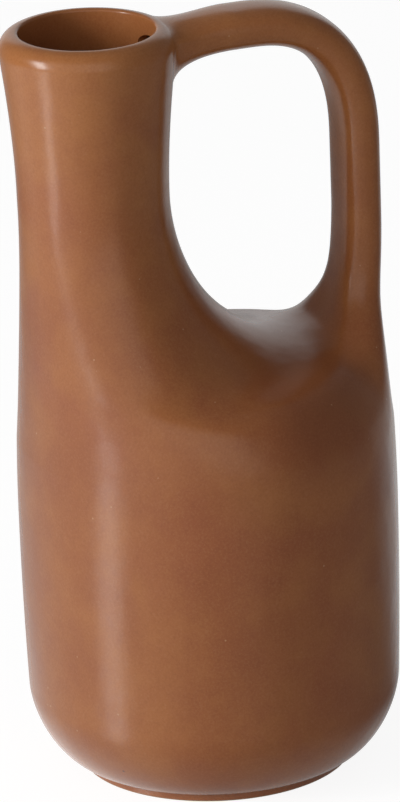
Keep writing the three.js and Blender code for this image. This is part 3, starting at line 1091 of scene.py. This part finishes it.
@dataclass(frozen=True)
class SatinGlaze:
    """The brown satin glaze of the vase, with bare clay where the foot was wiped, and painted shade on
    the shoulder and inside the bore.
    """

    sizes: VaseSizes
    thick: Colour = (0.328, 0.105, 0.037, 1)
    thin: Colour = (0.410, 0.153, 0.049, 1)
    iron: Colour = (0.302, 0.082, 0.034, 1)
    pinhole: Colour = (0.06, 0.025, 0.014, 1)
    speck: Colour = (0.47, 0.24, 0.12, 1)
    # Colour of painted shade: the painted shadow of the neck on the shoulder and the painted shade
    # inside the bore.
    painted_shade: Colour = (0.15, 0.036, 0.017, 1)
    clay: Colour = (0.46, 0.27, 0.16, 1)
    clouds: Clouds = Clouds(38, 5, 0.62)
    rust: Clouds = Clouds(21, 3, distortion=0.6)
    grain: Clouds = Clouds(1300, 2, 0.7)
    dents: Clouds = Clouds(55, 2)
    ripples: Clouds = Clouds(420, 2)
    specks: Dots = Dots(230, 0.1, 0.9)
    pinholes: Dots = Dots(110, 0.07, 0.95)
    thin_ramp: Ramp = Ramp(0.3, 0.72, 0.75)
    iron_ramp: Ramp = Ramp(0.5, 0.75, 0.55)
    dark_grain_ramp: Ramp = Ramp(0.5, 0.68, 0.11)
    pale_grain_ramp: Ramp = Ramp(0.5, 0.68, 0.14)
    neck_start: float = 150
    neck_end: float = 230
    neck_share: float = 0.5
    # Painted shadow that the neck casts on the shoulder before the handle's foot.
    neck_shadow_x: float = 23
    neck_shadow_z: float = 135
    neck_shadow_core: float = 8
    neck_shadow_edge: float = 32
    neck_shadow_share: float = 0.26
    neck_shadow_cloud_share: float = 0.3
    bore_core: float = 20.2
    bore_edge: float = 23.2
    bore_start: float = 170
    bore_end: float = 200
    # Painted shade inside the bore, fading towards the handle's side.
    bore_shade_from: float = -48
    bore_shade_to: float = -22
    bore_shade_fade: float = 0.85
    bore_shade_share: float = 0.45
    wiped_height: float = 0.4
    roughness: float = 0.23
    clay_roughness: float = 0.85
    cloud_roughness: float = 0.12
    grain_roughness: float = 0.05
    dent_height: float = 0.8
    ripple_height: float = 0.03
    grain_height: float = 0.012
    bump_strength: float = 0.5
    ior: float = 1.45

    def material(self) -> bpy.types.Material:
        """The finish as a material.

        Returns:
            The new material.
        """
        material = bpy.data.materials.new("satin_glaze")
        material.use_nodes = True
        bench = Bench(material.node_tree)
        place = bench.add("ShaderNodeTexCoord").outputs["Object"]
        cloud = bench.noise(place, self.clouds)
        grain = bench.noise(place, self.grain)
        height = bench.coordinate(place, "Z")
        wiped = 1 - height.between(self.wiped_height * MM, 2 * self.wiped_height * MM)
        colour = self._mottled(bench, place, cloud, grain)
        # Painted shadow of the neck on the shoulder, mottled by the clouds.
        neck_shadow = self._painted_neck_shadow(bench, place) * (self.neck_shadow_share + cloud * self.neck_shadow_cloud_share)
        colour = bench.blend(neck_shadow, colour, self.painted_shade)
        # Painted shade inside the neck's bore, mottled by the clouds.
        bore_shade = self._painted_bore_shade(bench, place) * (self.bore_shade_share + cloud)
        colour = bench.blend(bore_shade, colour, self.painted_shade)
        colour = bench.blend(bench.dots(place, self.specks), colour, self.speck)
        colour = bench.blend(bench.dots(place, self.pinholes), colour, self.pinhole)
        colour = bench.blend(wiped, colour, self.clay)
        uneven = (cloud - NOISE_MIDDLE) * self.cloud_roughness
        uneven = uneven + (grain - NOISE_MIDDLE) * self.grain_roughness
        roughness = self.roughness + uneven + wiped * (self.clay_roughness - self.roughness)
        relief = bench.noise(place, self.dents) * self.dent_height + grain * self.grain_height
        relief = relief + bench.noise(place, self.ripples) * self.ripple_height
        bump = bench.add("ShaderNodeBump", None, {
            "Strength": self.bump_strength, "Distance": MM, "Height": relief})
        shader = bench.add("ShaderNodeBsdfPrincipled", None, {
            "Base Color": colour, "Roughness": roughness, "IOR": self.ior, "Normal": bump.outputs[0]})
        bench.add("ShaderNodeOutputMaterial", None, {"Surface": shader.outputs[0]})
        return material

    def _mottled(self, bench: Bench, place: bpy.types.NodeSocket, cloud: Signal,
                 grain: Signal) -> bpy.types.NodeSocket:
        """The glaze's colour with its clouds and grain, lighter up the neck.

        Args:
            bench: Where the nodes go.
            place: Coordinates in metres.
            cloud: Noise of the clouds.
            grain: Noise of the grain.

        Returns:
            The colour.
        """
        upward = bench.coordinate(place, "Z").between(self.neck_start * MM, self.neck_end * MM)
        lighter = cloud.through(self.thin_ramp) + upward * self.neck_share
        colour = bench.blend(lighter, self.thick, self.thin)
        colour = bench.blend(bench.noise(place, self.rust).through(self.iron_ramp), colour, self.iron)
        colour = bench.blend(grain.through(self.dark_grain_ramp), colour, self.pinhole)
        return bench.blend((1 - grain).through(self.pale_grain_ramp), colour, self.speck)

    def _painted_neck_shadow(self, bench: Bench, place: bpy.types.NodeSocket) -> Signal:
        """Painted shadow that the neck casts on the shoulder round the foot of the handle.

        Args:
            bench: Where the nodes go.
            place: Coordinates in metres.

        Returns:
            A share from 0 to 1.
        """
        middle = Vector((self.neck_shadow_x, 0, self.neck_shadow_z)) * MM
        away = bench.measure("DISTANCE", bench.vector("MULTIPLY", place, SECTION), middle)
        return 1 - away.between(self.neck_shadow_core * MM, self.neck_shadow_edge * MM)

    def _painted_bore_shade(self, bench: Bench, place: bpy.types.NodeSocket) -> Signal:
        """Painted shade inside the neck's bore, mostly on the side away from the handle, where the rim
        keeps the light off the wall.

        Args:
            bench: Where the nodes go.
            place: Coordinates in metres.

        Returns:
            A share from 0 to 1.
        """
        axis = Vector((self.sizes.neck_x, 0, 0)) * MM
        away = bench.measure("DISTANCE", bench.vector("MULTIPLY", place, PLAN), axis)
        inside = 1 - away.between(self.bore_core * MM, self.bore_edge * MM)
        high = bench.coordinate(place, "Z").between(self.bore_start * MM, self.bore_end * MM)
        lit_side = bench.coordinate(place, "X").between(self.bore_shade_from * MM, self.bore_shade_to * MM)
        return inside * high * (1 - lit_side * self.bore_shade_fade)


# Studio

def heading(azimuth: float, elevation: float) -> Vector:
    """Direction from the vase for angles in degrees, with 0 towards -Y and 90 towards +X."""
    turn, rise = math.radians(azimuth), math.radians(elevation)
    return Vector((math.sin(turn) * math.cos(rise), -math.cos(turn) * math.cos(rise), math.sin(rise)))


@dataclass(frozen=True)
class PhotoCamera:
    """The camera at the photograph's viewing angle."""

    image_width: int = 400
    image_height: int = 802
    azimuth: float = -20
    elevation: float = 19.99
    distance: float = 2399
    target_z: float = 132.4
    focal_pixels: float = 7321
    target_pixel: tuple[float, float] = (203.77, 375.9)
    roll: float = 2.01
    sensor: float = 36
    clip_metres: float = 100

    def build(self) -> bpy.types.Object:
        """The camera, set as the scene's own.

        Returns:
            The new camera.
        """
        target = Vector((0, 0, self.target_z))
        towards = heading(self.azimuth, self.elevation)
        place = target + towards * self.distance
        ahead = -towards
        level = ahead.cross(Vector((0, 0, 1))).normalized()
        up = level.cross(ahead)
        lean = math.radians(self.roll)
        right = level * math.cos(lean) - up * math.sin(lean)
        top = level * math.sin(lean) + up * math.cos(lean)
        off_right = self.target_pixel[0] - self.image_width / 2
        off_up = self.image_height / 2 - self.target_pixel[1]
        ahead = (ahead - (right * off_right + top * off_up) / self.focal_pixels).normalized()
        right = (right - ahead * right.dot(ahead)).normalized()
        top = right.cross(ahead)
        data = bpy.data.cameras.new("photo_camera")
        # With this fit the sensor's width lies along the image's longer side.
        data.sensor_fit = "AUTO"
        data.sensor_width = self.sensor
        data.lens = self.focal_pixels / max(self.image_width, self.image_height) * self.sensor
        data.clip_end = self.clip_metres
        camera = bpy.data.objects.new("photo_camera", data)
        turned = Matrix((right, top, -ahead)).transposed().to_4x4()
        camera.matrix_world = Matrix.Translation(place * MM) @ turned
        bpy.context.scene.collection.objects.link(camera)
        bpy.context.scene.camera = camera
        return camera


@dataclass(frozen=True)
class Glow:
    """A soft-edged part of the surround that shines, from the floor up. Angles are in degrees."""

    azimuth: float
    half_width: float
    top: float
    strength: float
    softness: float = 14

    def level(self, bench: Bench, flat: bpy.types.NodeSocket, rise: Signal) -> Signal:
        """How much the surround shines in a direction.

        Args:
            bench: Where the nodes go.
            flat: The direction, made level.
            rise: Height of the direction, 1 straight up.

        Returns:
            The strength there.
        """
        edge = self.softness / 2
        outer, inner = math.radians(self.half_width + edge), math.radians(self.half_width - edge)
        low, high = math.radians(self.top - edge), math.radians(self.top + edge)
        wide = bench.along(flat, heading(self.azimuth, 0)).between(math.cos(outer), math.cos(inner))
        over = rise.between(math.sin(low), math.sin(high))
        return self.strength * wide * (1 - over)


@dataclass(frozen=True)
class Glare:
    """A part of the floor, towards an azimuth in degrees, that shines in the vase's reflections.

    It starts and ends at cosines of the angle from that azimuth.
    """

    azimuth: float
    start: float
    end: float
    strength: float

    def level(self, bench: Bench, way: bpy.types.NodeSocket) -> Signal:
        """How much the floor shines on a way out from the vase."""
        return bench.along(way, heading(self.azimuth, 0)).between(self.start, self.end) * self.strength


@dataclass(frozen=True)
class Studio:
    """The floor, the main light and the surround. Lengths are in metres and angles in degrees."""

    camera: PhotoCamera
    key_azimuth: float = -84
    key_elevation: float = 18
    key_tilt: float = 24
    key_distance: float = 1.5
    key_width: float = 0.32
    key_height: float = 0.8
    key_power: float = 12.3
    ambient: float = 0.16
    glows: tuple[Glow, ...] = (
        Glow(azimuth=-38, half_width=50, top=42, strength=0.71, softness=26),
        Glow(azimuth=159, half_width=28, top=33, strength=0.72),
    )
    floor_half: float = 2.0
    floor_colour: Colour = (0.62, 0.62, 0.62, 1)
    floor_roughness: float = 0.25
    floor_ior: float = 2.5
    seen_shine: float = 0.9
    seen_colour: Colour = (0.2, 0.2, 0.2, 1)
    key_glare: Glare = Glare(azimuth=-99, start=0.1, end=1.1, strength=0.7)
    back_glare: Glare = Glare(azimuth=145, start=0.5, end=1, strength=0.4)
    glare_fade: tuple[float, float] = (0.28, 0.55)
    contact_glare: float = 0.4
    contact_fade: tuple[float, float] = (0.05, 0.09)

    def build(self) -> None:
        """Everything around the vase."""
        self._floor()
        self._key()
        self._world()

    def _floor(self) -> None:
        """A pale floor."""
        half = self.floor_half
        corners = [(x * half, y * half, 0) for x, y in ((-1, -1), (1, -1), (1, 1), (-1, 1))]
        mesh = bpy.data.meshes.new("floor")
        mesh.from_pydata(corners, [], [(0, 1, 2, 3)])
        mesh.materials.append(self._floor_material())
        floor = bpy.data.objects.new("floor", mesh)
        bpy.context.scene.collection.objects.link(floor)

    def _floor_material(self) -> bpy.types.Material:
        """A finish that shows white, keeps the shadow and has a gloss for the vase to mirror.

        Returns:
            The new material.
        """
        material = bpy.data.materials.new("pale_floor")
        material.use_nodes = True
        bench = Bench(material.node_tree)
        rays = bench.add("ShaderNodeLightPath").outputs
        shine = bench.add("ShaderNodeEmission", None, {"Strength": self.seen_shine})
        matt = bench.add("ShaderNodeBsdfDiffuse", None, {"Color": self.seen_colour})
        seen = bench.add("ShaderNodeAddShader", None, {0: shine.outputs[0], 1: matt.outputs[0]})
        table = bench.add("ShaderNodeBsdfPrincipled", None, {
            "Base Color": self.floor_colour, "Roughness": self.floor_roughness, "IOR": self.floor_ior})
        place = bench.add("ShaderNodeTexCoord").outputs["Object"]
        way = bench.vector("NORMALIZE", place)
        around = self.key_glare.level(bench, way) + self.back_glare.level(bench, way)
        near = 1 - bench.coordinate(place, "Y").between(*self.glare_fade)
        contact = (1 - bench.measure("LENGTH", place).between(*self.contact_fade)) * self.contact_glare
        mirrored = Signal(bench, rays["Is Glossy Ray"])
        glare = bench.add("ShaderNodeEmission", None, {"Color": (around * near + contact) * mirrored})
        glossy = bench.add("ShaderNodeAddShader", None, {0: table.outputs[0], 1: glare.outputs[0]})
        mix = bench.add("ShaderNodeMixShader", None, {
            0: rays["Is Camera Ray"], 1: glossy.outputs[0], 2: seen.outputs[0]})
        bench.add("ShaderNodeOutputMaterial", None, {"Surface": mix.outputs[0]})
        return material

    def _key(self) -> None:
        """The main light, a tall soft box on the left whose top leans towards the back."""
        towards = heading(self.key_azimuth, self.key_elevation)
        data = bpy.data.lights.new("key", "AREA")
        data.shape = "RECTANGLE"
        data.size = self.key_width
        data.size_y = self.key_height
        data.energy = self.key_power
        lamp = bpy.data.objects.new("key", data)
        lamp.location = towards * self.key_distance + Vector((0, 0, self.camera.target_z * MM))
        lean = Quaternion((0, 0, 1), math.radians(self.key_tilt))
        lamp.rotation_euler = (towards.to_track_quat("Z", "Y") @ lean).to_euler()
        bpy.context.scene.collection.objects.link(lamp)

    def _world(self) -> None:
        """A surround that is white for the camera and glows softly for the vase."""
        world = bpy.data.worlds.new("surround")
        world.use_nodes = True
        bpy.context.scene.world = world
        bench = Bench(world.node_tree)
        way = bench.add("ShaderNodeTexCoord").outputs["Generated"]
        rise = bench.coordinate(way, "Z")
        flat = bench.vector("NORMALIZE", bench.vector("MULTIPLY", way, PLAN))
        seen = bench.signal("ShaderNodeLightPath", None, None, "Is Camera Ray")
        dim = self.ambient
        for glow in self.glows:
            dim = glow.level(bench, flat, rise) + dim
        back = bench.add("ShaderNodeBackground", None, {"Color": seen + (1 - seen) * dim})
        bench.add("ShaderNodeOutputWorld", None, {"Surface": back.outputs[0]})


def main() -> None:
    """Build the vase piece by piece, then the studio around it."""
    logging.basicConfig(level=logging.INFO, format="%(name)s: %(message)s")
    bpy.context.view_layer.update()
    camera = PhotoCamera()
    camera.build()
    sizes = VaseSizes()
    glaze = SatinGlaze(sizes).material()
    neck = Neck(sizes, "neck", "glaze")
    FootRing(sizes, "foot_ring", "glaze").dress(glaze)
    Body(sizes, "body", "glaze").dress(glaze)
    Shoulder(sizes, "shoulder", "glaze").dress(glaze)
    neck.dress(glaze)
    Handle(sizes, "handle", "glaze", neck=neck).dress(glaze)
    Studio(camera).build()
    bpy.context.scene.view_settings.view_transform = "Standard"


if __name__ == "__main__":
    main()
